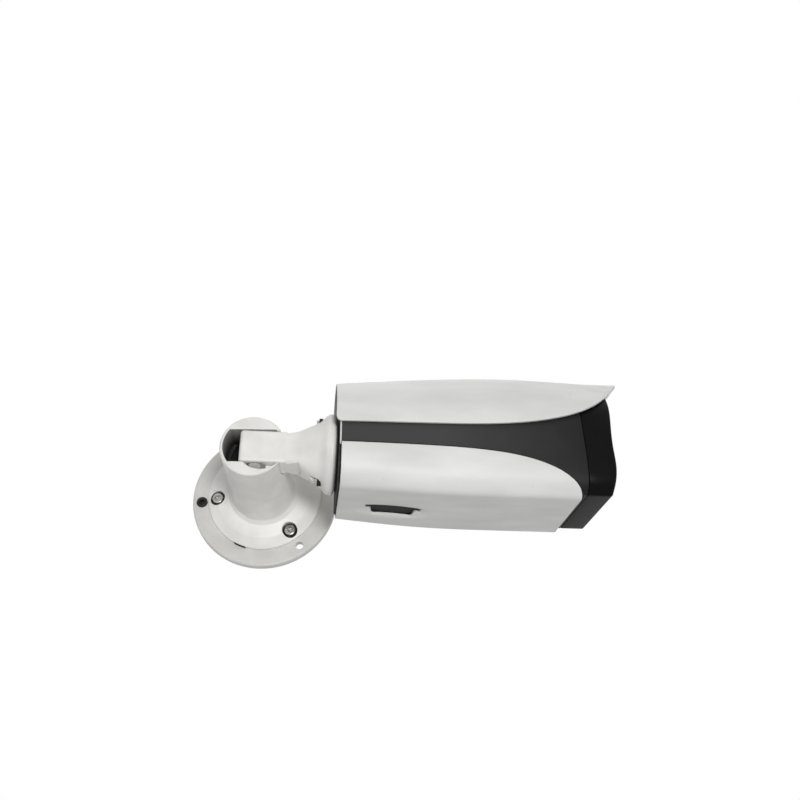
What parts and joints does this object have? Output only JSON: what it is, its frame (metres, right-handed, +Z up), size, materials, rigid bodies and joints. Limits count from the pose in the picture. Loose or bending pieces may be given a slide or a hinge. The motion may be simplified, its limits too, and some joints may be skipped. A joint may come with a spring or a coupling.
{
  "type": "bullet security camera with wall bracket",
  "caption": "Bullet security camera with a hooded white shell, dark side bands and black front, on a slotted post and round wall plate that pan, tilt and roll.",
  "frame": {"origin": "centre of the wall plate's back face, on the wall plane", "axes": "-Y out of the wall along the post, +X the way the camera points along the wall, +Z up"},
  "size_m": [0.2608, 0.1025, 0.099],
  "materials": {
    "bracket_paint": "powder-coated die-cast aluminium, off-white, fine orange peel",
    "cover_paint": "painted die-cast cover, off-white satin",
    "housing_dark": "dark grey painted casting, satin",
    "bezel_black": "black moulded polycarbonate, satin",
    "steel": "stainless steel screws",
    "rubber": "black silicone rubber",
    "grommet_black": "black rubber grommet",
    "brass": "turned brass and bronze",
    "nylon": "black nylon",
    "window_glass": "dark tinted flat window",
    "lens_glass": "coated optical glass",
    "filter_glass": "coated filter glass",
    "lens_black": "black anodised aluminium",
    "bare_aluminium": "plain aluminium",
    "circuit_green": "green solder-masked board",
    "circuit_black": "black solder-masked board",
    "led_clear": "clear LED resin",
    "chip": "sensor package with cover glass",
    "connectors": "nickel-plated and black connectors"
  },
  "bodies": {
    "base": {"wall_plate": "bracket_paint", "base_cap": "bracket_paint", "base_screws": "steel", "hole_grommet": "grommet_black"},
    "post": {"post": "bracket_paint", "post_retainer": "steel", "retainer_screws": "steel", "pan_washer": "steel", "pivot_bolt": "steel", "pivot_nut": "steel"},
    "arm": {"arm": "bracket_paint", "pivot_bush": "brass", "roll_ring": "bracket_paint", "arm_screws": "steel"},
    "camera": {"rear_cap": "housing_dark", "rear_band": "cover_paint", "rear_gasket": "rubber", "roll_nut": "brass", "cable_gland": "brass", "main_housing": "housing_dark", "top_cover": "cover_paint", "cover_screws": "steel", "lower_cover": "cover_paint", "front_bezel": "bezel_black", "window_gasket": "rubber", "front_window": "window_glass", "window_frame": "nylon", "led_board": "circuit_black", "led_carrier": "nylon", "ir_leds": "led_clear", "light_sensor": "led_clear", "bezel_screws": "steel", "lens_barrel": "lens_black", "lens_rings": "lens_black", "front_lens": "lens_glass", "lens_mount": "nylon", "sensor_board": "circuit_green", "image_sensor": "chip", "chassis": "bare_aluminium", "main_board": "circuit_green", "board_standoffs": "brass", "heat_sink": "bare_aluminium", "board_parts": "connectors", "io_board": "circuit_green"},
    "filter": {"filter_slide": "nylon", "filter_glasses": "filter_glass"},
    "focus": {"focus_cell": "lens_black", "focus_lens": "lens_glass"}
  },
  "joints": [
    {"name": "pan", "type": "hinge", "parent": "base", "child": "post", "pos_m": [0, -0.0188, 0], "axis": [0, -1, 0], "range_deg": [-180, 180]},
    {"name": "tilt", "type": "hinge", "parent": "post", "child": "arm", "pos_m": [0.0015, -0.0714, 0], "axis": [0, 0, 1], "range_deg": [-94.2, 0]},
    {"name": "roll", "type": "hinge", "parent": "arm", "child": "camera", "pos_m": [0.04608, -0.06813, 0], "axis": [0.9973, 0.0732, 0], "range_deg": [-180, 180]},
    {"name": "filter_switch", "type": "slide", "parent": "camera", "child": "filter", "axis": [-0.0732, 0.9973, 0], "range_m": [0, 0.009]},
    {"name": "focus_travel", "type": "slide", "parent": "camera", "child": "focus", "axis": [0.9973, 0.0732, 0], "range_m": [0, 0.006]}
  ]
}
